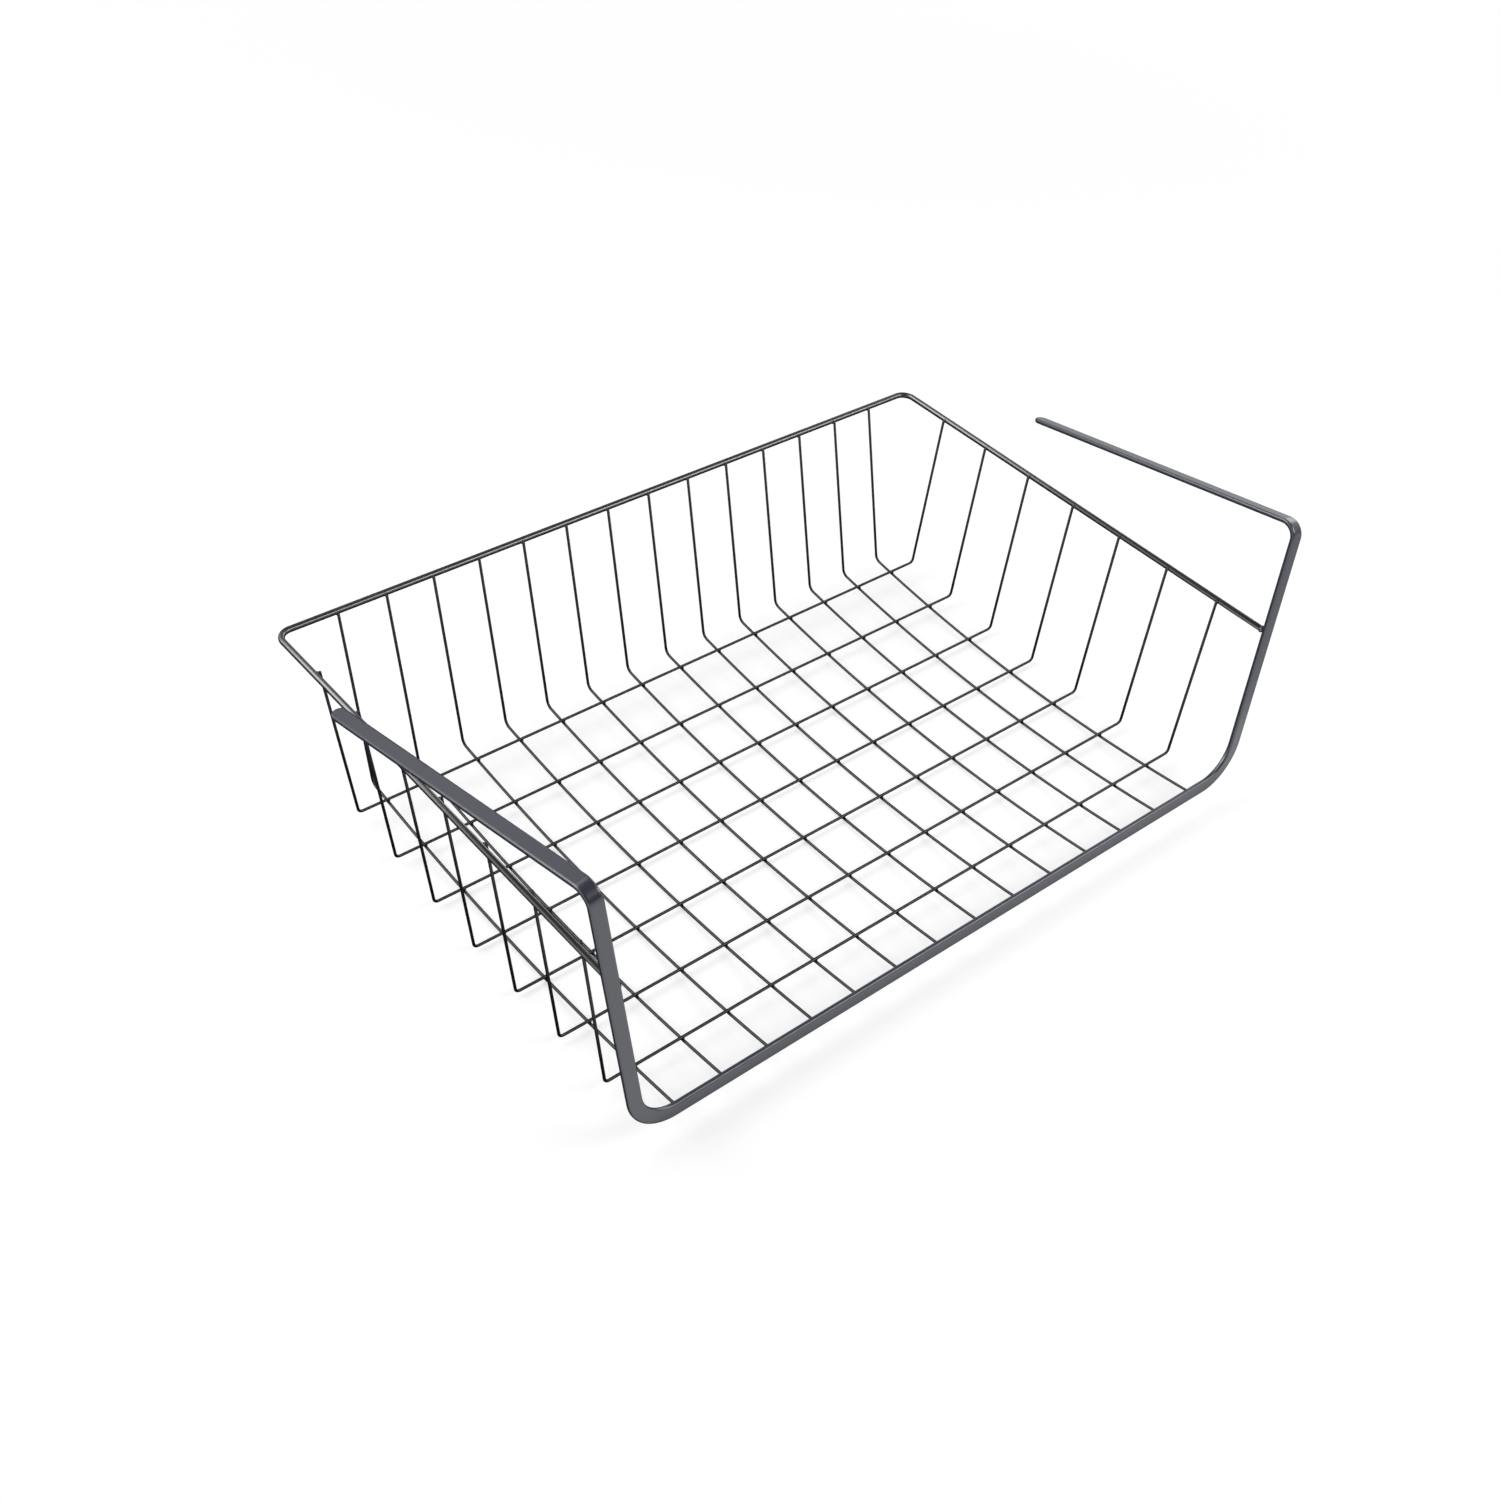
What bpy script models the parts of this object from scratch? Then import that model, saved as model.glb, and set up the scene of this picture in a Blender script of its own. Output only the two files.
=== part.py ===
"""Wire basket that hangs below a shelf board by two flat steel arms.

One flat steel strip makes the front frame: the rail, two uprights and two arms.
A round rim wire runs behind it along the sides and the back. Fourteen long wires
make the floor and the back wall, and seven cross wires make the floor and the sides.

World axes: +X to the right along the front rail, +Y from the open front to the back,
+Z up. The origin is below the middle of the basket, at the lowest point of the floor.
All lengths are in metres.
"""

import math

import bpy
from mathutils import Matrix, Vector

# Steel sizes
STRIP_WIDTH = 0.0070
STRIP_THICKNESS = 0.0024
STRIP_EDGE_RADIUS = 0.0010
RIM_WIRE = 0.0030
GRID_WIRE = 0.0014
WELD_GAP = 0.0003

# Front frame, measured on the strip's centre line from the middle of the rail
RAIL_HALF = 0.1842
SHOULDER_OUT = 0.0183
SHOULDER_HEIGHT = 0.1345
SHOULDER_BACK = 0.0152
ARM_TOE_OUT = 0.0061
ARM_LENGTH_BACK = 0.1643
ARM_DROP = 0.0336
CORNER_RADIUS = 0.0205
SHOULDER_RADIUS = 0.0070

# Rim
RIM_HEIGHT = 0.0805
RIM_INSIDE_UPRIGHT = 0.0030
RIM_CORNER_RADIUS = 0.0065

# Long wires
LONG_COUNT = 14
LONG_SIDE_CLEAR = 0.0156
FLOOR_DEPTH = 0.2325
FLOOR_SAG = 0.0082
BACK_WALL_LEAN = 0.0234
LONG_TIP_INSIDE = 0.0015
LONG_BEND_RADIUS = 0.0045

# Cross wires
CROSS_COUNT = 7
CROSS_FRONT_CLEAR = 0.0305
CROSS_BACK_CLEAR = 0.0130
CROSS_INSIDE_RAIL = 0.0061
SIDE_LEAN_BACK = 0.0062
CROSS_BEND_RADIUS = 0.0025

# Shared by the grid wires
WIRE_END_ABOVE_RIM = 0.0005
WIRE_END_EASE = 0.00025
WIRE_END_SHARE = 0.7

# Mesh fineness
RIM_SIDES = 12
GRID_SIDES = 8
BEND_STEPS = 6
CORNER_STEPS = 8
SAG_STEPS = 12
EDGE_STEPS = 3
TIP_STEPS = 4
TIP_FIRST_ANGLE = math.radians(15.0)

# Derived sizes
STRIP_HALF = STRIP_WIDTH / 2.0
STRIP_HALF_THICKNESS = STRIP_THICKNESS / 2.0
RIM_R = RIM_WIRE / 2.0
GRID_R = GRID_WIRE / 2.0
RAIL_TO_LONG = STRIP_HALF + WELD_GAP + GRID_R
LONG_TO_CROSS = GRID_WIRE + WELD_GAP
RIM_TO_GRID = RIM_R + WELD_GAP + GRID_R
RAIL_Z = RAIL_TO_LONG + FLOOR_SAG + GRID_R
RIM_Z = RAIL_Z + RIM_HEIGHT
LONG_Z = RAIL_Z - RAIL_TO_LONG
WALL_RISE = RIM_Z - LONG_Z
RIM_SHARE = RIM_HEIGHT / SHOULDER_HEIGHT
RIM_HALF = RAIL_HALF + SHOULDER_OUT * RIM_SHARE - RIM_INSIDE_UPRIGHT
CROSS_HALF = RAIL_HALF - CROSS_INSIDE_RAIL
CROSS_PITCH = (FLOOR_DEPTH - CROSS_FRONT_CLEAR - CROSS_BACK_CLEAR) / (CROSS_COUNT - 1)
LONG_PITCH = 2.0 * (CROSS_HALF - LONG_SIDE_CLEAR) / (LONG_COUNT - 1)
LONG_TIP = STRIP_HALF_THICKNESS - LONG_TIP_INSIDE
BACK_WALL_ANGLE = math.atan2(BACK_WALL_LEAN, WALL_RISE)
RIM_BACK = FLOOR_DEPTH + BACK_WALL_LEAN + RIM_TO_GRID / math.cos(BACK_WALL_ANGLE)

# The side wires lean so that they pass just inside the rim
SIDE_REACH = RIM_HALF - CROSS_HALF
SIDE_REACH_ANGLE = math.atan2(SIDE_REACH, WALL_RISE)
SIDE_PASS_ANGLE = math.asin(RIM_TO_GRID / math.hypot(SIDE_REACH, WALL_RISE))
SIDE_WALL_LEAN = WALL_RISE * math.tan(SIDE_REACH_ANGLE - SIDE_PASS_ANGLE)

# The rail's front face and the rim's back are equally far from the origin
FRONT_LEAN_ANGLE = math.atan2(SHOULDER_BACK, SHOULDER_HEIGHT)
FRONT_REACH_UP = (STRIP_HALF - STRIP_EDGE_RADIUS) * math.sin(FRONT_LEAN_ANGLE)
FRONT_REACH_OUT = (STRIP_HALF_THICKNESS - STRIP_EDGE_RADIUS) * math.cos(FRONT_LEAN_ANGLE)
FRONT_REACH = FRONT_REACH_UP + FRONT_REACH_OUT + STRIP_EDGE_RADIUS
FRONT_Y = -(RIM_BACK + RIM_R - FRONT_REACH) / 2.0

# Finishes: base colour, roughness, metallic
FRAME_FINISH = ((0.032, 0.037, 0.055, 1.0), 0.29, 0.0)
RIM_FINISH = ((0.008, 0.009, 0.012, 1.0), 0.31, 0.0)
GRID_FINISH = ((0.007, 0.0075, 0.009, 1.0), 0.38, 0.0)


def clear_scene():
    """Remove every object that the start-up scene holds."""
    for item in list(bpy.data.objects):
        bpy.data.objects.remove(item, do_unlink=True)


def make_material(name, finish):
    """Make one plain metal finish."""
    color, roughness, metallic = finish
    material = bpy.data.materials.new(name)
    material.use_nodes = True
    shader = material.node_tree.nodes["Principled BSDF"]
    shader.inputs["Base Color"].default_value = color
    shader.inputs["Roughness"].default_value = roughness
    shader.inputs["Metallic"].default_value = metallic
    return material


def circle_section(radius, sides):
    """Corner points of a round wire's section."""
    points = []
    for index in range(sides):
        angle = 2.0 * math.pi * (index + 0.5) / sides
        points.append((radius * math.cos(angle), radius * math.sin(angle)))
    return points


def strip_section():
    """Corner points of the strip's section, width first, with eased edges."""
    points = []
    half_flat = STRIP_HALF - STRIP_EDGE_RADIUS
    half_edge = STRIP_HALF_THICKNESS - STRIP_EDGE_RADIUS
    centres = ((half_flat, half_edge), (-half_flat, half_edge))
    centres += ((-half_flat, -half_edge), (half_flat, -half_edge))
    for quarter, (across, through) in enumerate(centres):
        for step in range(EDGE_STEPS + 1):
            angle = math.pi / 2.0 * (quarter + step / EDGE_STEPS)
            points.append(
                (
                    across + STRIP_EDGE_RADIUS * math.cos(angle),
                    through + STRIP_EDGE_RADIUS * math.sin(angle),
                )
            )
    return points


def follow(corners, radii, width, steps):
    """Stations along a bent path: point, direction and width direction.

    corners are the path's ends and the sharp corners between its straight runs,
    radii the bend radius at each inner corner, width the width direction at the
    start, and steps the number of pieces in each bend.
    """
    point = corners[0].copy()
    direction = (corners[1] - corners[0]).normalized()
    width = width.copy()
    stations = [(point.copy(), direction.copy(), width.copy())]
    for index, radius in enumerate(radii):
        corner = corners[index + 1]
        after = (corners[index + 2] - corner).normalized()
        turn = direction.angle(after)
        axis = direction.cross(after).normalized()
        reach = radius * math.tan(turn / 2.0)
        start = corner - direction * reach
        centre = start + axis.cross(direction) * radius
        for step in range(steps + 1):
            spin = Matrix.Rotation(turn * step / steps, 3, axis)
            place = centre + spin @ (start - centre)
            stations.append((place, spin @ direction, spin @ width))
        spin = Matrix.Rotation(turn, 3, axis)
        width = spin @ width
        direction = after
    stations.append((corners[-1].copy(), direction.copy(), width.copy()))
    return stations


def sweep(name, stations, section, shares, material):
    """Make a closed solid by carrying a section along the stations.

    shares scale the section at each station: along the width, then through it.
    """
    vertices = []
    for (place, direction, width), (wide, thick) in zip(stations, shares):
        through = direction.cross(width)
        for across, depth in section:
            vertices.append(place + width * (across * wide) + through * (depth * thick))
    count = len(section)
    faces = []
    for ring in range(len(stations) - 1):
        for index in range(count):
            after = (index + 1) % count
            low = ring * count
            high = low + count
            faces.append((low + index, low + after, high + after, high + index))
    last = (len(stations) - 1) * count
    faces.append(tuple(reversed(range(count))))
    faces.append(tuple(range(last, last + count)))
    mesh = bpy.data.meshes.new(name)
    mesh.from_pydata([tuple(vertex) for vertex in vertices], [], faces)
    mesh.materials.append(material)
    for polygon in mesh.polygons:
        polygon.use_smooth = len(polygon.vertices) == 4
    mesh.update()
    return mesh


def add_object(name, mesh, place=(0.0, 0.0, 0.0)):
    """Put a mesh in the scene under its own name."""
    item = bpy.data.objects.new(name, mesh)
    item.location = place
    bpy.context.scene.collection.objects.link(item)
    return item


def eased_wire(name, stations, section, material):
    """Sweep a wire whose two cut ends are slightly eased."""
    first = stations[0]
    last = stations[-1]
    inner_first = (first[0] + first[1] * WIRE_END_EASE, first[1], first[2])
    inner_last = (last[0] - last[1] * WIRE_END_EASE, last[1], last[2])
    path = [first, inner_first, *stations[1:-1], inner_last, last]
    small = (WIRE_END_SHARE, WIRE_END_SHARE)
    shares = [small] + [(1.0, 1.0)] * (len(path) - 2) + [small]
    return sweep(name, path, section, shares, material)


def front_frame(material):
    """One flat strip: rail, uprights and the arms that lie on the shelf."""
    lean = FRONT_LEAN_ANGLE
    middle = Vector((0.0, FRONT_Y, RAIL_Z))
    upward = Vector((0.0, math.sin(lean), math.cos(lean)))
    corner = middle + Vector((RAIL_HALF, 0.0, 0.0))
    shoulder = corner + Vector((SHOULDER_OUT, SHOULDER_BACK, SHOULDER_HEIGHT))
    tip = shoulder + Vector((ARM_TOE_OUT, ARM_LENGTH_BACK, -ARM_DROP))
    along = (tip - shoulder).normalized()
    tip_start = tip - along * STRIP_HALF
    corners = [middle, corner, shoulder, tip_start]
    radii = [CORNER_RADIUS, SHOULDER_RADIUS]
    half = follow(corners, radii, upward, CORNER_STEPS)
    shares = [(1.0, 1.0)] * len(half)
    _, direction, width = half[-1]
    for step in range(1, TIP_STEPS + 1):
        share = step / TIP_STEPS
        angle = math.pi / 2.0 + (TIP_FIRST_ANGLE - math.pi / 2.0) * share
        place = tip_start + along * (STRIP_HALF * math.cos(angle))
        half.append((place, direction, width))
        shares.append((math.sin(angle), 1.0))
    mirrored = []
    for place, direction, width in reversed(half[1:]):
        mirrored.append(
            (
                Vector((-place.x, place.y, place.z)),
                Vector((direction.x, -direction.y, -direction.z)),
                Vector((-width.x, width.y, width.z)),
            )
        )
    stations = mirrored + half
    all_shares = list(reversed(shares[1:])) + shares
    mesh = sweep("front_frame", stations, strip_section(), all_shares, material)
    return add_object("front_frame", mesh)


def rim_wire(material):
    """Round wire behind both uprights, along the sides and the back."""
    upright_back = SHOULDER_BACK * RIM_SHARE
    upright_back += STRIP_HALF_THICKNESS / math.cos(FRONT_LEAN_ANGLE)
    upright_back += RIM_R * math.tan(FRONT_LEAN_ANGLE)
    start_y = FRONT_Y + upright_back + WELD_GAP
    back_y = FRONT_Y + RIM_BACK
    corners = [
        Vector((-RIM_HALF, start_y, RIM_Z)),
        Vector((-RIM_HALF, back_y, RIM_Z)),
        Vector((RIM_HALF, back_y, RIM_Z)),
        Vector((RIM_HALF, start_y, RIM_Z)),
    ]
    radii = [RIM_CORNER_RADIUS, RIM_CORNER_RADIUS]
    stations = follow(corners, radii, Vector((0.0, 0.0, 1.0)), CORNER_STEPS)
    section = circle_section(RIM_R, RIM_SIDES)
    mesh = eased_wire("rim_wire", stations, section, material)
    return add_object("rim_wire", mesh)


def floor_height(depth):
    """Height of the long wires' centre line at a depth behind the rail."""
    share = depth / FLOOR_DEPTH
    return LONG_Z - 4.0 * FLOOR_SAG * share * (1.0 - share)


def floor_slope(depth):
    """Rise of the long wires per metre of depth."""
    return -4.0 * FLOOR_SAG * (1.0 - 2.0 * depth / FLOOR_DEPTH) / FLOOR_DEPTH


def long_wire_mesh(material):
    """Wire that sags from below the rail to the back and then climbs the wall."""
    sideways = Vector((1.0, 0.0, 0.0))
    wall = Vector((0.0, BACK_WALL_LEAN, WALL_RISE)).normalized()
    corner = Vector((0.0, FRONT_Y + FLOOR_DEPTH, LONG_Z))
    into = Vector((0.0, 1.0, floor_slope(FLOOR_DEPTH))).normalized()
    reach = LONG_BEND_RADIUS * math.tan(into.angle(wall) / 2.0)
    flat_end = FLOOR_DEPTH - reach * into.y
    stations = []
    for step in range(SAG_STEPS + 1):
        depth = -LONG_TIP + (flat_end + LONG_TIP) * step / SAG_STEPS
        along = Vector((0.0, 1.0, floor_slope(depth))).normalized()
        place = Vector((0.0, FRONT_Y + depth, floor_height(depth)))
        stations.append((place, along, sideways))
    top = corner + wall * ((WALL_RISE + WIRE_END_ABOVE_RIM) / wall.z)
    before = corner - into * (reach + LONG_BEND_RADIUS)
    bend = follow([before, corner, top], [LONG_BEND_RADIUS], sideways, BEND_STEPS)
    stations = stations[:-1] + bend[1:]
    section = circle_section(GRID_R, GRID_SIDES)
    return eased_wire("long_wire", stations, section, material)


def long_wires(material):
    """The long wires, spread evenly across the floor and the back wall."""
    mesh = long_wire_mesh(material)
    middle = (LONG_COUNT - 1) / 2.0
    for index in range(LONG_COUNT):
        offset = (index - middle) * LONG_PITCH
        add_object(f"long_wire_{index + 1:02d}", mesh, (offset, 0.0, 0.0))


def cross_wires(material):
    """The cross wires: over the long wires on the floor, then up both sides."""
    section = circle_section(GRID_R, GRID_SIDES)
    for index in range(CROSS_COUNT):
        depth = CROSS_FRONT_CLEAR + index * CROSS_PITCH
        slope = math.atan(floor_slope(depth))
        height = floor_height(depth) + LONG_TO_CROSS / math.cos(slope)
        rise = RIM_Z - height
        lean = SIDE_WALL_LEAN
        share = (rise + WIRE_END_ABOVE_RIM) / rise
        y = FRONT_Y + depth
        top_y = y + SIDE_LEAN_BACK * share
        top_z = height + rise * share
        top_x = CROSS_HALF + lean * share
        corners = [
            Vector((-top_x, top_y, top_z)),
            Vector((-CROSS_HALF, y, height)),
            Vector((CROSS_HALF, y, height)),
            Vector((top_x, top_y, top_z)),
        ]
        downward = (corners[1] - corners[0]).normalized()
        width = downward.cross(Vector((1.0, 0.0, 0.0))).normalized()
        radii = [CROSS_BEND_RADIUS, CROSS_BEND_RADIUS]
        stations = follow(corners, radii, width, BEND_STEPS)
        name = f"cross_wire_{index + 1}"
        add_object(name, eased_wire(name, stations, section, material))


def main():
    """Build the basket."""
    clear_scene()
    front_frame(make_material("frame_grey", FRAME_FINISH))
    rim_wire(make_material("rim_grey", RIM_FINISH))
    grid = make_material("grid_grey", GRID_FINISH)
    long_wires(grid)
    cross_wires(grid)


main()
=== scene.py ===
"""Looks of a wire basket that hangs below a shelf board.

The basket is bent and welded steel under a dark satin powder coat. A flat strip makes
the rail, the uprights and the arms, a round wire makes the rim, and thin wires make the
floor and the walls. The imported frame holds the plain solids, and this script puts
finer steel in the same places: round wires, full bends and weld nuggets.

World axes: +X to the right along the front rail, +Y from the open front to the back,
+Z up. All lengths are in metres.
"""

import logging
import math
from dataclasses import dataclass
from enum import Enum

import bmesh
import bpy
from mathutils import Euler, Matrix, Vector

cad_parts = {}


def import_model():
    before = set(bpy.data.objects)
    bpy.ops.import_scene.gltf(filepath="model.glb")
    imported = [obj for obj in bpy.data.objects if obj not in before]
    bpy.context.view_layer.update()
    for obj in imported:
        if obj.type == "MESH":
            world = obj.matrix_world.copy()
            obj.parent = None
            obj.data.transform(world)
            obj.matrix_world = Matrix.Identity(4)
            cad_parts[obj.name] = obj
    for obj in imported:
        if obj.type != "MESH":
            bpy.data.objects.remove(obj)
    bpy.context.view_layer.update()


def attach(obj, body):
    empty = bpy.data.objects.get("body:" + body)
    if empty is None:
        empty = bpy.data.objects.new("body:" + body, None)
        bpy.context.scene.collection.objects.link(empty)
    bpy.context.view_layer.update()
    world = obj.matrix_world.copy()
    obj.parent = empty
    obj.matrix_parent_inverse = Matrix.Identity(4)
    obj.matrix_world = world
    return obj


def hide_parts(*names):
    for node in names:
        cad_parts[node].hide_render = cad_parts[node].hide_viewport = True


LOG = logging.getLogger("basket")
ROOT_BODY = "root"

Triple = tuple[float, float, float]
Colour = tuple[float, float, float, float]
Row = list[bmesh.types.BMVert]
Socket = bpy.types.NodeSocket
Feeds = dict[str | int, object]
SocketTable = tuple[tuple[str, str, object], ...]


class Slot(Enum):
    """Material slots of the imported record."""

    FRAME = "frame_grey"
    RIM = "rim_grey"
    GRID = "grid_grey"


@dataclass(frozen=True)
class BasketSizes:
    """Sizes of the basket, the same as the solids have."""

    strip_width: float = 0.0070
    strip_thickness: float = 0.0024
    strip_edge: float = 0.0010
    rim_wire: float = 0.0030
    grid_wire: float = 0.0014
    weld_gap: float = 0.0003
    rail_half: float = 0.1842
    shoulder_out: float = 0.0183
    shoulder_height: float = 0.1345
    shoulder_back: float = 0.0152
    arm_toe_out: float = 0.0061
    arm_length_back: float = 0.1643
    arm_drop: float = 0.0336
    corner_radius: float = 0.0205
    shoulder_radius: float = 0.0070
    rim_height: float = 0.0805
    rim_inside_upright: float = 0.0030
    rim_corner_radius: float = 0.0065
    long_count: int = 14
    long_side_clear: float = 0.0156
    floor_depth: float = 0.2325
    floor_sag: float = 0.0082
    back_wall_lean: float = 0.0234
    long_tip_inside: float = 0.0015
    long_bend_radius: float = 0.0045
    cross_count: int = 7
    cross_front_clear: float = 0.0305
    cross_back_clear: float = 0.0130
    cross_inside_rail: float = 0.0061
    side_lean_back: float = 0.0062
    cross_bend_radius: float = 0.0025
    wire_end_above_rim: float = 0.0005

    @property
    def strip_half(self) -> float:
        """Half the strip's width."""
        return self.strip_width / 2.0

    @property
    def strip_half_thickness(self) -> float:
        """Half the strip's thickness."""
        return self.strip_thickness / 2.0

    @property
    def rim_r(self) -> float:
        """Radius of the rim wire."""
        return self.rim_wire / 2.0

    @property
    def grid_r(self) -> float:
        """Radius of a grid wire."""
        return self.grid_wire / 2.0

    @property
    def rail_to_long(self) -> float:
        """Drop from the rail's centre line to the long wires'."""
        return self.strip_half + self.weld_gap + self.grid_r

    @property
    def long_to_cross(self) -> float:
        """Distance between a long wire's and a cross wire's centre lines."""
        return self.grid_wire + self.weld_gap

    @property
    def rim_to_grid(self) -> float:
        """Distance between the rim's centre line and a wall wire's."""
        return self.rim_r + self.weld_gap + self.grid_r

    @property
    def rail_z(self) -> float:
        """Height of the rail's centre line."""
        return self.rail_to_long + self.floor_sag + self.grid_r

    @property
    def rim_z(self) -> float:
        """Height of the rim's centre line."""
        return self.rail_z + self.rim_height

    @property
    def long_z(self) -> float:
        """Height of the long wires at the rail and at the back corner."""
        return self.rail_z - self.rail_to_long

    @property
    def wall_rise(self) -> float:
        """Rise from the long wires to the rim."""
        return self.rim_z - self.long_z

    @property
    def rim_share(self) -> float:
        """Share of the upright's height at which the rim meets it."""
        return self.rim_height / self.shoulder_height

    @property
    def rim_half(self) -> float:
        """Half the rim's width."""
        upright = self.rail_half + self.shoulder_out * self.rim_share
        return upright - self.rim_inside_upright

    @property
    def cross_half(self) -> float:
        """Half the floor's width between the cross wires' bends."""
        return self.rail_half - self.cross_inside_rail

    @property
    def cross_pitch(self) -> float:
        """Spacing of the cross wires."""
        run = self.floor_depth - self.cross_front_clear - self.cross_back_clear
        return run / (self.cross_count - 1)

    @property
    def long_pitch(self) -> float:
        """Spacing of the long wires."""
        return 2.0 * (self.cross_half - self.long_side_clear) / (self.long_count - 1)

    @property
    def long_tip(self) -> float:
        """How far the long wires' tips lie in front of the rail's centre line."""
        return self.strip_half_thickness - self.long_tip_inside

    @property
    def rim_back(self) -> float:
        """Distance from the rail to the rim's back run."""
        angle = math.atan2(self.back_wall_lean, self.wall_rise)
        return self.floor_depth + self.back_wall_lean + self.rim_to_grid / math.cos(angle)

    @property
    def rim_start_y(self) -> float:
        """Place of the rim's ends, just behind the uprights."""
        back = self.shoulder_back * self.rim_share
        back += self.strip_half_thickness / math.cos(self.front_lean)
        back += self.rim_r * math.tan(self.front_lean)
        return self.front_y + back + self.weld_gap

    @property
    def side_wall_lean(self) -> float:
        """Outward lean of the side wires, which pass just inside the rim."""
        reach = self.rim_half - self.cross_half
        passing = math.asin(self.rim_to_grid / math.hypot(reach, self.wall_rise))
        return self.wall_rise * math.tan(math.atan2(reach, self.wall_rise) - passing)

    @property
    def front_lean(self) -> float:
        """Angle by which the front frame leans back, in radians."""
        return math.atan2(self.shoulder_back, self.shoulder_height)

    @property
    def front_y(self) -> float:
        """Place of the rail's centre line, with the basket centred on the origin."""
        up = (self.strip_half - self.strip_edge) * math.sin(self.front_lean)
        out = (self.strip_half_thickness - self.strip_edge) * math.cos(self.front_lean)
        reach = up + out + self.strip_edge
        return -(self.rim_back + self.rim_r - reach) / 2.0

    def floor_height(self, depth: float) -> float:
        """Height of the long wires' centre line, at a depth behind the rail."""
        share = depth / self.floor_depth
        return self.long_z - 4.0 * self.floor_sag * share * (1.0 - share)

    def floor_slope(self, depth: float) -> float:
        """Rise of the long wires per metre, negative where they fall to the back."""
        return -4.0 * self.floor_sag * (1.0 - 2.0 * depth / self.floor_depth) / self.floor_depth

    def cross_height(self, depth: float) -> float:
        """Height of a cross wire's centre line on the floor, at its depth."""
        slope = math.atan(self.floor_slope(depth))
        return self.floor_height(depth) + self.long_to_cross / math.cos(slope)

    def cross_depths(self) -> list[float]:
        """Distances of the cross wires behind the rail."""
        first = self.cross_front_clear
        return [first + index * self.cross_pitch for index in range(self.cross_count)]

    def long_offsets(self) -> list[float]:
        """Sideways places of the long wires."""
        middle = (self.long_count - 1) / 2.0
        return [(index - middle) * self.long_pitch for index in range(self.long_count)]


@dataclass(frozen=True)
class PowderCoat:
    """A satin powder coat on steel.

    Attributes:
        name: Name of the material.
        slot: Slot of the record that the finish stands for; not used.
        colour: Colour on flat places.
        edge_coat_and_highlight_colour: Colour on rounded edges, where the coat is thinner and
            the lighter colour also paints a highlight.
        roughness: Roughness of the coat.
        gloss: Strength of the mirror image in the coat, 0.5 for plain varnish.
        ior: Refraction of the coat.
        grain_size: Wavelength of the orange peel.
        grain_depth: Depth of the orange peel.
    """

    name: str
    slot: Slot
    colour: Triple
    edge_coat_and_highlight_colour: Triple
    roughness: float
    gloss: float = 1.0
    ior: float = 1.5
    grain_size: float = 0.0011
    grain_depth: float = 0.0000015


FRAME_COAT = PowderCoat(
    name="frame_powder_coat",
    slot=Slot.FRAME,
    colour=(0.032, 0.037, 0.055),
    # The lighter edge colour stands for a thinner coat and also paints a highlight on the
    # strip's rounded edges.
    edge_coat_and_highlight_colour=(0.040, 0.046, 0.066),
    roughness=0.29,
)
RIM_COAT = PowderCoat(
    name="rim_powder_coat",
    slot=Slot.RIM,
    colour=(0.008, 0.009, 0.012),
    edge_coat_and_highlight_colour=(0.012, 0.013, 0.017),
    roughness=0.31,
    ior=1.7,
)
GRID_COAT = PowderCoat(
    name="grid_powder_coat",
    slot=Slot.GRID,
    colour=(0.007, 0.0075, 0.009),
    edge_coat_and_highlight_colour=(0.009, 0.010, 0.012),
    roughness=0.38,
    gloss=0.6,
    grain_size=0.0007,
)


def grey(brightness: float) -> Colour:
    """Give a plain grey, 1 for white."""
    return (brightness, brightness, brightness, 1.0)


def show(name: str, data: bpy.types.ID) -> bpy.types.Object:
    """Make an object and put it in the scene.

    Args:
        name: Name of the object.
        data: Its mesh, lamp or camera.

    Returns:
        The object.
    """
    item = bpy.data.objects.new(name, data)
    bpy.context.scene.collection.objects.link(item)
    return item


def card_mesh(
    name: str, width: float, height: float, centre: Vector, turn: Matrix
) -> bpy.types.Mesh:
    """Make a flat rectangle.

    Args:
        name: Name of the mesh.
        width: Its width, along X before the turn.
        height: Its height, along Y before the turn.
        centre: Its middle.
        turn: Rotation that it is given, which takes +Z to its face.

    Returns:
        The mesh, with one face.
    """
    half, tall = width / 2.0, height / 2.0
    corners = ((-half, -tall), (half, -tall), (half, tall), (-half, tall))
    places = [tuple(centre + turn @ Vector((*corner, 0.0))) for corner in corners]
    mesh = bpy.data.meshes.new(name)
    mesh.from_pydata(places, [], [(0, 1, 2, 3)])
    return mesh


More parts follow.
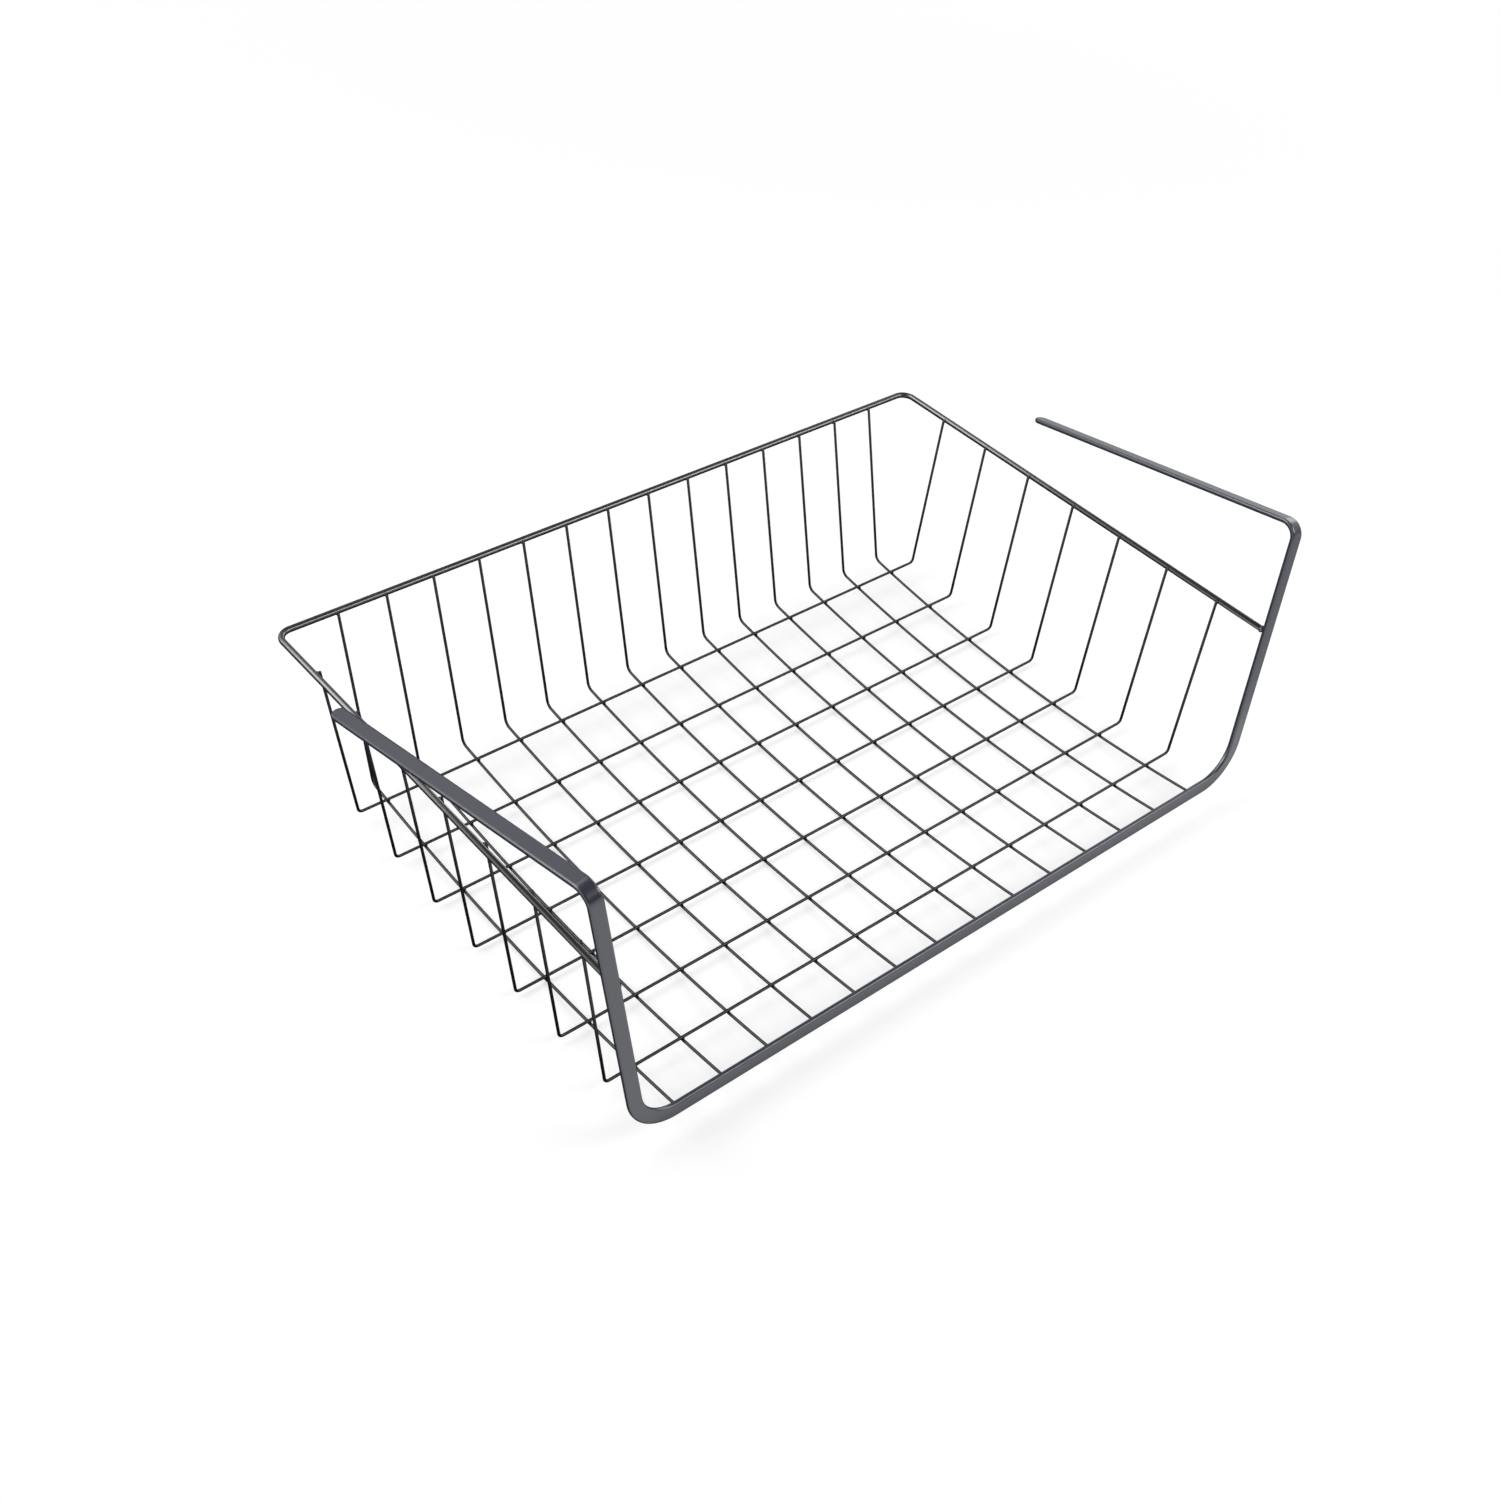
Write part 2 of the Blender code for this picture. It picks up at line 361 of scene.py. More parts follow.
class NodeBench:
    """Adds and links the nodes of one tree."""

    def __init__(self, tree: bpy.types.NodeTree) -> None:
        """Start on a tree."""
        self.tree = tree

    def feed(self, node: bpy.types.Node, feeds: Feeds) -> None:
        """Link sockets to a node's inputs, or set the inputs' values.

        Args:
            node: The node.
            feeds: Socket or value for each input, by the input's name or number.
        """
        for key, value in feeds.items():
            if isinstance(value, Socket):
                self.tree.links.new(value, node.inputs[key])
            else:
                node.inputs[key].default_value = value

    def add(
        self, kind: str, feeds: Feeds | None = None, **settings: object
    ) -> bpy.types.NodeOutputs:
        """Add a node.

        Args:
            kind: Type name of the node.
            feeds: Socket or value for each input, by the input's name or number.
            **settings: Properties of the node, set before its inputs.

        Returns:
            The node's outputs.
        """
        node = self.tree.nodes.new(kind)
        for key, value in settings.items():
            setattr(node, key, value)
        self.feed(node, feeds or {})
        return node.outputs

    def math(self, operation: str, first: Socket, second: Socket | float) -> Socket:
        """Add a sum on two values, such as MULTIPLY, and give its result."""
        return self.add("ShaderNodeMath", {0: first, 1: second}, operation=operation)[0]

    def vector(self, **parts: Socket) -> Socket:
        """Join the named parts, such as X, to a vector."""
        return self.add("ShaderNodeCombineXYZ", parts)["Vector"]

    def interface(self, table: SocketTable, side: str) -> dict[str, str]:
        """Add named sockets to the tree's interface.

        Args:
            table: Name, type name and default value of each, None for no default.
            side: INPUT or OUTPUT.

        Returns:
            The sockets' identifiers by name.
        """
        keys = {}
        for name, kind, value in table:
            item = self.tree.interface.new_socket(name=name, in_out=side, socket_type=kind)
            if value is not None:
                item.default_value = value
            keys[name] = item.identifier
        return keys


class PowderSkin:
    """Shader node group with the surface of a powder coat."""

    NAME = "powder_skin"
    INPUTS = (
        ("Coat Colour", "NodeSocketColor", None),
        ("Edge Coat And Highlight Colour", "NodeSocketColor", None),
        ("Edge", "NodeSocketFloat", 0.0),
        ("Base Roughness", "NodeSocketFloat", 0.4),
        ("Grain Scale", "NodeSocketFloat", 900.0),
    )
    OUTPUTS = (
        ("Colour", "NodeSocketColor", None),
        ("Roughness", "NodeSocketFloat", None),
        ("Height", "NodeSocketFloat", None),
    )
    SHEEN_SIZE = 0.035
    SHEEN_LAYERS = 3.0
    SHEEN_COLOUR_SHARE = 0.16
    SHEEN_ROUGHNESS = 0.10
    FLAKE_SIZE = 0.00045
    FLAKE_LAYERS = 1.0
    FLAKE_SHARE = 0.10
    PEEL_LAYERS = 2.0

    def __init__(self) -> None:
        """Build the group: cloudy sheen, fine flake and orange peel."""
        self.tree = bpy.data.node_groups.new(self.NAME, "ShaderNodeTree")
        self.bench = bench = NodeBench(self.tree)
        bench.interface(self.INPUTS, "INPUT")
        bench.interface(self.OUTPUTS, "OUTPUT")
        source = bench.add("NodeGroupInput")
        place = bench.add("ShaderNodeTexCoord")["Object"]
        sheen = self._noise(place, 1.0 / self.SHEEN_SIZE, self.SHEEN_LAYERS)
        flake = self._noise(place, 1.0 / self.FLAKE_SIZE, self.FLAKE_LAYERS)
        results = {
            "Colour": self._colour(source, sheen, flake),
            "Roughness": self._roughness(source["Base Roughness"], sheen),
            "Height": self._noise(place, source["Grain Scale"], self.PEEL_LAYERS),
        }
        bench.add("NodeGroupOutput", results)

    def _noise(self, place: Socket, scale: Socket | float, layers: float) -> Socket:
        """Add a noise.

        Args:
            place: Socket of the coordinates.
            scale: Scale of the noise, per metre.
            layers: Number of finer layers.

        Returns:
            The socket of the noise's value.
        """
        feeds = {"Vector": place, "Scale": scale, "Detail": layers}
        return self.bench.add("ShaderNodeTexNoise", feeds)["Fac"]

    def _colour(
        self, source: bpy.types.NodeOutputs, sheen: Socket, flake: Socket
    ) -> Socket:
        """Mix the coat's colour with its lighter edges (thinner coat and painted highlight),
        its clouds and its flake.

        Args:
            source: The group's inputs.
            sheen: Socket of the cloudy sheen.
            flake: Socket of the fine flake.

        Returns:
            The socket of the colour.
        """
        bench = self.bench
        # The edge mix lightens the rounded edges: partly a thinner coat, partly a painted
        # highlight.
        feeds = {
            "Factor": source["Edge"],
            "A": source["Coat Colour"],
            "B": source["Edge Coat And Highlight Colour"],
        }
        edge = bench.add("ShaderNodeMix", feeds, data_type="RGBA")["Result"]
        cloud = bench.math("MULTIPLY", sheen, self.SHEEN_COLOUR_SHARE)
        grain = bench.math("MULTIPLY", flake, self.FLAKE_SHARE)
        middle = (self.SHEEN_COLOUR_SHARE + self.FLAKE_SHARE) / 2.0
        bright = bench.math("ADD", bench.math("ADD", cloud, grain), 1.0 - middle)
        feeds = {"Vector": edge, "Scale": bright}
        return bench.add("ShaderNodeVectorMath", feeds, operation="SCALE")["Vector"]

    def _roughness(self, base: Socket, sheen: Socket) -> Socket:
        """Vary the roughness with the clouds.

        Args:
            base: Socket of the coat's own roughness.
            sheen: Socket of the cloudy sheen.

        Returns:
            The socket of the roughness.
        """
        swing = self.bench.math("MULTIPLY", sheen, self.SHEEN_ROUGHNESS)
        lifted = self.bench.math("ADD", swing, -self.SHEEN_ROUGHNESS / 2.0)
        return self.bench.math("ADD", base, lifted)


class CoatShop:
    """Makes the materials of the basket and hands them out by finish."""

    # Share of rounded edge on each point of the strip, which lightens the colour as thinner
    # coat and painted highlight.
    EDGE_AND_HIGHLIGHT_ATTRIBUTE = "edge"

    def __init__(self) -> None:
        """Build the shared skin."""
        self.skin = PowderSkin()
        self.made: dict[str, bpy.types.Material] = {}

    def material(self, coat: PowderCoat) -> bpy.types.Material:
        """Give the material of a finish, made at its first use.

        Args:
            coat: The finish.

        Returns:
            Its material.
        """
        if coat.name not in self.made:
            self.made[coat.name] = self._make(coat)
        return self.made[coat.name]

    def _make(self, coat: PowderCoat) -> bpy.types.Material:
        """Build the material of one finish.

        Args:
            coat: The finish.

        Returns:
            Its new material.
        """
        material = bpy.data.materials.new(coat.name)
        material.use_nodes = True
        bench = NodeBench(material.node_tree)
        edge = bench.add("ShaderNodeAttribute", attribute_name=self.EDGE_AND_HIGHLIGHT_ATTRIBUTE)
        feeds = {
            "Coat Colour": (*coat.colour, 1.0),
            "Edge Coat And Highlight Colour": (*coat.edge_coat_and_highlight_colour, 1.0),
            "Edge": edge["Fac"],
            "Base Roughness": coat.roughness,
            "Grain Scale": 1.0 / coat.grain_size,
        }
        skin = bench.add("ShaderNodeGroup", feeds, node_tree=self.skin.tree)
        feeds = {"Height": skin["Height"], "Distance": coat.grain_depth}
        bump = bench.add("ShaderNodeBump", feeds)
        feeds = {
            "Base Color": skin["Colour"],
            "Roughness": skin["Roughness"],
            "Metallic": 0.0,
            "Specular IOR Level": coat.gloss,
            "IOR": coat.ior,
            "Normal": bump["Normal"],
        }
        bench.feed(material.node_tree.nodes["Principled BSDF"], feeds)
        return material


@dataclass
class PathPoint:
    """One corner of a wire's path.

    Attributes:
        place: Where the corner is.
        bend: 1 where the wire is bent to the bend radius, 0 where it only turns a little.
        ease: Share of the wire's radius here, less than 1 at a cut end.
    """

    place: Vector
    bend: float = 0.0
    ease: float = 1.0


class WirePaths:
    """Paths of wires, kept as the edges of a mesh."""

    END_EASE = 0.00025
    END_SHARE = 0.7

    def __init__(self) -> None:
        """Start with no path."""
        self.points: list[PathPoint] = []
        self.edges: list[tuple[int, int]] = []

    def add(self, path: list[PathPoint]) -> None:
        """Add one wire, with its two cut ends eased.

        Args:
            path: The corners from end to end.
        """
        first, last = path[0], path[-1]
        inward_first = (path[1].place - first.place).normalized() * self.END_EASE
        inward_last = (path[-2].place - last.place).normalized() * self.END_EASE
        eased = [
            PathPoint(first.place, ease=self.END_SHARE),
            PathPoint(first.place + inward_first),
            *path[1:-1],
            PathPoint(last.place + inward_last),
            PathPoint(last.place, ease=self.END_SHARE),
        ]
        start = len(self.points)
        self.points += eased
        self.edges += [(start + step, start + step + 1) for step in range(len(eased) - 1)]

    def mesh(self) -> bpy.types.Mesh:
        """Give the paths as a mesh with its bend and ease attributes.

        Returns:
            A mesh of points and edges.
        """
        mesh = bpy.data.meshes.new("wire_paths")
        mesh.from_pydata([tuple(point.place) for point in self.points], self.edges, [])
        for key in ("bend", "ease"):
            values = [getattr(point, key) for point in self.points]
            mesh.attributes.new(key, "FLOAT", "POINT").data.foreach_set("value", values)
        return mesh


class TreeShop:
    """A Geometry Nodes tree with named inputs, run once on a mesh."""

    NAME = "tree"
    GEOMETRY = (("Geometry", "NodeSocketGeometry", None),)
    INPUTS: SocketTable = ()

    def __init__(self) -> None:
        """Build the tree: its inputs, its shape and the finish on it."""
        self.tree = bpy.data.node_groups.new(self.NAME, "GeometryNodeTree")
        self.bench = bench = NodeBench(self.tree)
        bench.interface(self.GEOMETRY, "OUTPUT")
        self.keys = bench.interface(self.GEOMETRY + self.INPUTS, "INPUT")
        self.source = bench.add("NodeGroupInput")
        feeds = {"Geometry": self.shape(), "Material": self.source["Finish"]}
        coated = bench.add("GeometryNodeSetMaterial", feeds)
        bench.add("NodeGroupOutput", {"Geometry": coated["Geometry"]})

    def shape(self) -> Socket:
        """Build the tree's shape and give its socket."""
        raise NotImplementedError

    def named(self, name: str, kind: str) -> Socket:
        """Read a named attribute.

        Args:
            name: Name of the attribute.
            kind: FLOAT or FLOAT_VECTOR.

        Returns:
            The socket of its value.
        """
        feeds = {"Name": name}
        node = self.bench.add("GeometryNodeInputNamedAttribute", feeds, data_type=kind)
        return node["Attribute"]

    def smooth(self, mesh: Socket) -> Socket:
        """Shade a mesh smooth."""
        return self.bench.add("GeometryNodeSetShadeSmooth", {"Geometry": mesh})["Geometry"]

    def spread(self, feeds: Feeds) -> Socket:
        """Set copies on points, as real meshes.

        Args:
            feeds: Sockets of the points, the instance, its turn and its size.

        Returns:
            The socket of the copies.
        """
        copies = self.bench.add("GeometryNodeInstanceOnPoints", feeds)["Instances"]
        real = self.bench.add("GeometryNodeRealizeInstances", {"Geometry": copies})
        return real["Geometry"]

    def run(
        self, name: str, mesh: bpy.types.Mesh, values: dict[str, object]
    ) -> bpy.types.Object:
        """Run the tree on a mesh and keep the result as a plain mesh.

        Args:
            name: Name of the new piece.
            mesh: The mesh that the tree starts from.
            values: The inputs by name.

        Returns:
            The piece, with no modifier left on it.
        """
        piece = show(name, mesh)
        modifier = piece.modifiers.new(self.tree.name, "NODES")
        modifier.node_group = self.tree
        for key, value in values.items():
            modifier[self.keys[key]] = value
        graph = bpy.context.evaluated_depsgraph_get()
        made = bpy.data.meshes.new_from_object(piece.evaluated_get(graph), depsgraph=graph)
        piece.modifiers.remove(modifier)
        piece.data = made
        bpy.data.meshes.remove(mesh)
        made.name = name
        return piece


class WireBender(TreeShop):
    """Turns paths into round wires with full bends, and repeats them sideways."""

    NAME = "bent_wire"
    INPUTS = (
        ("Wire Radius", "NodeSocketFloat", 0.001),
        ("Bend Radius", "NodeSocketFloat", 0.007),
        ("Bend Points", "NodeSocketInt", 10),
        ("Section Points", "NodeSocketInt", 12),
        ("Copies", "NodeSocketInt", 1),
        ("Pitch", "NodeSocketFloat", 0.025),
        ("Finish", "NodeSocketMaterial", None),
    )

    def shape(self) -> Socket:
        """Bend the paths, give them a round section and repeat them.

        Returns:
            The socket of the wires.
        """
        feeds = {"Mesh": self.source["Geometry"]}
        curve = self.bench.add("GeometryNodeMeshToCurve", feeds)["Curve"]
        return self._repeated(self._rounded(self._bent(curve)))

    def _bent(self, curve: Socket) -> Socket:
        """Round the marked corners.

        Args:
            curve: Socket of the sharp paths.

        Returns:
            The socket of the bent paths.
        """
        bend = self.named("bend", "FLOAT")
        feeds = {
            "Curve": curve,
            "Count": self.source["Bend Points"],
            "Radius": self.bench.math("MULTIPLY", bend, self.source["Bend Radius"]),
        }
        return self.bench.add("GeometryNodeFilletCurve", feeds, mode="POLY")["Curve"]

    def _rounded(self, curve: Socket) -> Socket:
        """Sweep a round section along the path, narrower at the cut ends.

        Args:
            curve: Socket of the bent paths.

        Returns:
            The socket of the wires.
        """
        feeds = {
            "Resolution": self.source["Section Points"],
            "Radius": self.source["Wire Radius"],
        }
        ring = self.bench.add("GeometryNodeCurvePrimitiveCircle", feeds, mode="RADIUS")
        feeds = {
            "Curve": curve,
            "Profile Curve": ring["Curve"],
            "Scale": self.named("ease", "FLOAT"),
            "Fill Caps": True,
        }
        return self.smooth(self.bench.add("GeometryNodeCurveToMesh", feeds)["Mesh"])

    def _repeated(self, wire: Socket) -> Socket:
        """Set copies side by side, with the row centred on the path.

        Args:
            wire: Socket of the wires of one path.

        Returns:
            The socket of the whole row.
        """
        bench, pitch = self.bench, self.source["Pitch"]
        steps = bench.math("SUBTRACT", self.source["Copies"], 1.0)
        width = bench.math("MULTIPLY", steps, pitch)
        feeds = {
            "Count": self.source["Copies"],
            "Start Location": bench.vector(X=bench.math("MULTIPLY", width, -0.5)),
            "Offset": bench.vector(X=pitch),
        }
        row = bench.add("GeometryNodeMeshLine", feeds, mode="OFFSET")
        return self.spread({"Points": row["Mesh"], "Instance": wire})


class NuggetMaker(TreeShop):
    """Puts a small weld nugget on each point of a mesh."""

    NAME = "weld_nuggets"
    INPUTS = (
        ("Across", "NodeSocketFloat", 0.001),
        ("Along", "NodeSocketFloat", 0.001),
        ("Unevenness", "NodeSocketFloat", 0.1),
        ("Seed", "NodeSocketInt", 1),
        ("Finish", "NodeSocketMaterial", None),
    )
    SEGMENTS = 10
    RINGS = 6

    def shape(self) -> Socket:
        """Set a ball on each point, flattened along the point's aim.

        Returns:
            The socket of the nuggets.
        """
        feeds = {"Segments": self.SEGMENTS, "Rings": self.RINGS, "Radius": 1.0}
        ball = self.bench.add("GeometryNodeMeshUVSphere", feeds)
        feeds = {"Vector": self.named("aim", "FLOAT_VECTOR")}
        turn = self.bench.add("FunctionNodeAlignRotationToVector", feeds, axis="Z")
        feeds = {
            "Points": self.source["Geometry"],
            "Instance": ball["Mesh"],
            "Rotation": turn["Rotation"],
            "Scale": self._size(),
        }
        return self.smooth(self.spread(feeds))

    def _size(self) -> Socket:
        """Give each nugget its own slightly uneven size.

        Returns:
            The socket of the sizes across, across and along the aim.
        """
        bench, source = self.bench, self.source
        low = bench.math("MULTIPLY", source["Unevenness"], -1.0)
        # Inputs 2 and 3 and output 1 are those of plain numbers.
        feeds = {
            2: bench.math("ADD", low, 1.0),
            3: bench.math("ADD", source["Unevenness"], 1.0),
            "Seed": source["Seed"],
        }
        share = bench.add("FunctionNodeRandomValue", feeds, data_type="FLOAT")[1]
        across = bench.math("MULTIPLY", source["Across"], share)
        along = bench.math("MULTIPLY", source["Along"], share)
        return bench.vector(X=across, Y=across, Z=along)


def fit_piece(piece: bpy.types.Object, nodes: tuple[str, ...] = ()) -> None:
    """Let a finished piece ride on the basket and hide what it stands for.

    Args:
        piece: The finished piece.
        nodes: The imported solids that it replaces.
    """
    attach(piece, ROOT_BODY)
    if nodes:
        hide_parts(*nodes)
    LOG.info("%s: %d faces", piece.name, len(piece.data.polygons))


@dataclass(frozen=True)
class Station:
    """One place along the strip.

    Attributes:
        place: Point on the strip's centre line.
        along: Direction of the strip.
        width: Direction of the strip's width.
        swell: Share by which the strip is thicker on the inner side of an edge-wise bend.
    """

    place: Vector
    along: Vector
    width: Vector
    swell: float = 0.0

    def mirrored(self) -> "Station":
        """Give the station's mirror image on the left half."""
        return Station(
            Vector((-self.place.x, self.place.y, self.place.z)),
            Vector((self.along.x, -self.along.y, -self.along.z)),
            Vector((-self.width.x, self.width.y, self.width.z)),
            self.swell,
        )


class Mould:
    """Mesh under construction, with the share of edge kept on each point."""

    def __init__(self) -> None:
        """Start with no point."""
        self.work = bmesh.new()
        self.layer = self.work.verts.layers.float.new(CoatShop.EDGE_AND_HIGHLIGHT_ATTRIBUTE)

    def point(self, place: Vector, share: float) -> bmesh.types.BMVert:
        """Add a point.

        Args:
            place: Where the point is.
            share: Its share of edge.

        Returns:
            The point.
        """
        vert = self.work.verts.new(place)
        vert[self.layer] = share
        return vert

    def join(self, low: Row, high: Row, closed: bool) -> None:
        """Fill the faces between two rows of points.

        Args:
            low: First row.
            high: Second row, with as many points.
            closed: Whether the rows run back to their start.
        """
        count = len(low)
        for index in range(count if closed else count - 1):
            after = (index + 1) % count
            corners = [low[index], low[after], high[after], high[index]]
            self.work.faces.new(list(dict.fromkeys(corners)))

    def mesh(self, name: str) -> bpy.types.Mesh:
        """Give the smooth mesh, and end the work on it.

        Args:
            name: Name of the mesh.

        Returns:
            The mesh.
        """
        bmesh.ops.recalc_face_normals(self.work, faces=self.work.faces)
        for face in self.work.faces:
            face.smooth = True
        mesh = bpy.data.meshes.new(name)
        self.work.to_mesh(mesh)
        self.work.free()
        return mesh


@dataclass
class FrontStrip:
    """The flat strip: rail, bottom corners, uprights, shoulders and arms."""

    sizes: BasketSizes
    corner_steps: int = 20
    shoulder_steps: int = 16
    edge_steps: int = 6
    tip_steps: int = 18
    flat_support: float = 0.00015
    corner_swell: float = 0.05

    def build(self, shop: CoatShop) -> None:
        """Make the strip and put its finish on.

        Args:
            shop: Source of the materials.
        """
        half = self._half()
        stations = [station.mirrored() for station in reversed(half[1:])] + half
        mesh = self._mesh("front_strip", stations)
        mesh.materials.append(shop.material(FRAME_COAT))
        fit_piece(show("front_strip", mesh), ("front_frame",))

    def _half(self) -> list[Station]:
        """Give the stations of the right half.

        Returns:
            The stations from the rail's middle to where the right tip starts.
        """
        sizes = self.sizes
        lean = sizes.front_lean
        middle = Vector((0.0, sizes.front_y, sizes.rail_z))
        corner = middle + Vector((sizes.rail_half, 0.0, 0.0))
        rise = Vector((sizes.shoulder_out, sizes.shoulder_back, sizes.shoulder_height))
        shoulder = corner + rise
        arm = Vector((sizes.arm_toe_out, sizes.arm_length_back, -sizes.arm_drop))
        tip = shoulder + arm - arm.normalized() * sizes.strip_half
        width = Vector((0.0, math.sin(lean), math.cos(lean)))
        stations = [Station(middle, (corner - middle).normalized(), width)]
        stations += self._bend(
            stations[-1], corner, shoulder, sizes.corner_radius, self.corner_steps, True
        )
        stations += self._bend(
            stations[-1], shoulder, tip, sizes.shoulder_radius, self.shoulder_steps, False
        )
        last = stations[-1]
        return [*stations, Station(tip, last.along, last.width)]

    def _bend(
        self,
        before: Station,
        corner: Vector,
        after: Vector,
        radius: float,
        steps: int,
        edgewise: bool,
    ) -> list[Station]:
        """Give the stations of one bend.

        Args:
            before: Last station before the bend.
            corner: Sharp corner that the bend rounds.
            after: Point that the strip heads for after the bend.
            radius: Radius of the centre line.
            steps: Number of pieces in the bend.
            edgewise: Whether the strip is bent in the plane of its width.

        Returns:
            The stations from the start to the end of the bend.
        """
        onward = (after - corner).normalized()
        turn = before.along.angle(onward)
        axis = before.along.cross(onward).normalized()
        start = corner - before.along * (radius * math.tan(turn / 2.0))
        centre = start + axis.cross(before.along) * radius
        stations = []
        for step in range(steps + 1):
            share = step / steps
            spin = Matrix.Rotation(turn * share, 3, axis)
            swell = self.corner_swell * math.sin(math.pi * share) if edgewise else 0.0
            place = centre + spin @ (start - centre)
            stations.append(Station(place, spin @ before.along, spin @ before.width, swell))
        return stations

    def _side(self) -> list[Triple]:
        """Give the outline of one side of the section.

        Returns:
            For each point, its place across and through the strip and its share of edge.
        """
        sizes = self.sizes
        edge = sizes.strip_edge
        flat = sizes.strip_half - edge
        level = sizes.strip_half_thickness - edge
        upper = [(flat - self.flat_support, sizes.strip_half_thickness, 0.0)]
        for step in range(self.edge_steps + 1):
            angle = math.pi / 2.0 * (1.0 - step / self.edge_steps)
            across = flat + edge * math.cos(angle)
            through = level + edge * math.sin(angle)
            # The share of edge peaks halfway round each rounded edge, where the lighter colour
            # paints a highlight.
            upper.append((across, through, math.sin(2.0 * angle)))
        lower = [(across, -through, share) for across, through, share in reversed(upper)]
        return upper + lower

    def _mesh(self, name: str, stations: list[Station]) -> bpy.types.Mesh:
        """Sweep the section along the stations and round both tips.

        Args:
            name: Name of the mesh.
            stations: The stations from the left tip to the right one.

        Returns:
            The mesh of the whole strip.
        """
        side = self._side()
        pole = (0.0, self.sizes.strip_half_thickness, 0.0)
        left = [(-across, through, share) for across, through, share in reversed(side)]
        outline = [pole, *side, (0.0, -pole[1], 0.0), *left]
        mould = Mould()
        rings = [self._ring(mould, station, outline) for station in stations]
        for low, high in zip(rings, rings[1:]):
            mould.join(low, high, closed=True)
        self._tip(mould, stations[0], rings[0], side, -1.0)
        self._tip(mould, stations[-1], rings[-1], side, 1.0)
        return mould.mesh(name)

    def _ring(self, mould: Mould, station: Station, outline: list[Triple]) -> Row:
        """Put the section's points at a station.

        Args:
            mould: Mesh under construction.
            station: The station.
            outline: Outline of the whole section.

        Returns:
            The new points.
        """
        through = station.along.cross(station.width)
        made = []
        for across, depth, share in outline:
            side = across / self.sizes.strip_half
            thick = depth * (1.0 + station.swell * side)
            place = station.place + station.width * across + through * thick
            made.append(mould.point(place, share))
        return made

    def _tip(
        self, mould: Mould, station: Station, ring: Row, side: list[Triple], outward: float
    ) -> None:
        """Turn the side's outline round the end of the strip.

        Args:
            mould: Mesh under construction.
            station: Last station of the strip.
            ring: Points at that station.
            side: Outline of one side of the section.
            outward: 1 at the end of the path, -1 at its start.
        """
        count = len(side)
        through = station.along.cross(station.width)
        upper, lower = ring[0], ring[count + 1]
        before = ring[: count + 2]
        last = [upper, *reversed(ring[count + 2 :]), lower]
        for step in range(1, self.tip_steps):
            angle = math.pi * step / self.tip_steps
            out = station.width * math.cos(angle)
            out = out + station.along * (math.sin(angle) * outward)
            row = [upper]
            for across, depth, share in side:
                place = station.place + out * across + through * depth
                row.append(mould.point(place, share))
            row.append(lower)
            mould.join(before, row, closed=False)
            before = row
        mould.join(before, last, closed=False)


@dataclass
class Wires:
    """Round wires of one kind, made from their paths."""

    sizes: BasketSizes
    bend_points: int = 12
    section_points: int = 12

    def bend(
        self,
        name: str,
        paths: WirePaths,
        bender: WireBender,
        values: dict[str, object],
    ) -> bpy.types.Object:
        """Bend the wires.

        Args:
            name: Name of the piece.
            paths: Paths of the wires.
            bender: Tree that makes wires.
            values: The bender's inputs that this kind has for itself.

        Returns:
            The bent wires.
        """
        shared = {
            "Bend Points": self.bend_points,
            "Section Points": self.section_points,
            "Copies": 1,
        }
        return bender.run(name, paths.mesh(), {**shared, **values})


@dataclass
class RimLoop(Wires):
    """The round wire that runs behind the uprights, along the sides and the back."""

    bend_points: int = 16
    section_points: int = 20

    def build(self, bender: WireBender, shop: CoatShop) -> None:
        """Bend the rim and put its finish on.

        Args:
            bender: Tree that makes wires.
            shop: Source of the materials.
        """
        sizes = self.sizes
        half, front, high = sizes.rim_half, sizes.rim_start_y, sizes.rim_z
        back = sizes.front_y + sizes.rim_back
        path = [
            PathPoint(Vector((-half, front, high))),
            PathPoint(Vector((-half, back, high)), bend=1.0),
            PathPoint(Vector((half, back, high)), bend=1.0),
            PathPoint(Vector((half, front, high))),
        ]
        paths = WirePaths()
        paths.add(path)
        values = {
            "Wire Radius": sizes.rim_r,
            "Bend Radius": sizes.rim_corner_radius,
            "Finish": shop.material(RIM_COAT),
        }
        piece = self.bend("rim_loop", paths, bender, values)
        fit_piece(piece, ("rim_wire",))


@dataclass
class LongWires(Wires):
    """The thin wires that run from the rail over the floor and up the back wall."""

    sag_points: int = 24

    def build(self, bender: WireBender, shop: CoatShop) -> None:
        """Bend the wires and put their finish on.

        Args:
            bender: Tree that makes wires.
            shop: Source of the materials.
        """
        sizes = self.sizes
        paths = WirePaths()
        paths.add(self._path())
        values = {
            "Wire Radius": sizes.grid_r,
            "Bend Radius": sizes.long_bend_radius,
            "Copies": sizes.long_count,
            "Pitch": sizes.long_pitch,
            "Finish": shop.material(GRID_COAT),
        }
        piece = self.bend("long_wires", paths, bender, values)
        nodes = tuple(f"long_wire_{index + 1:02d}" for index in range(sizes.long_count))
        fit_piece(piece, nodes)

    def _path(self) -> list[PathPoint]:
        """Give the path in the middle of the row.

        Returns:
            The corners of the sagging floor, the bend and the wall.
        """
        sizes = self.sizes
        last_depth = sizes.floor_depth - sizes.long_bend_radius
        points = []
        for step in range(self.sag_points + 1):
            share = step / self.sag_points
            depth = -sizes.long_tip + (last_depth + sizes.long_tip) * share
            place = Vector((0.0, sizes.front_y + depth, sizes.floor_height(depth)))
            points.append(PathPoint(place))
        corner = Vector((0.0, sizes.front_y + sizes.floor_depth, sizes.long_z))
        share = (sizes.wall_rise + sizes.wire_end_above_rim) / sizes.wall_rise
        wall = Vector((0.0, sizes.back_wall_lean, sizes.wall_rise)) * share
        return [*points, PathPoint(corner, bend=1.0), PathPoint(corner + wall)]


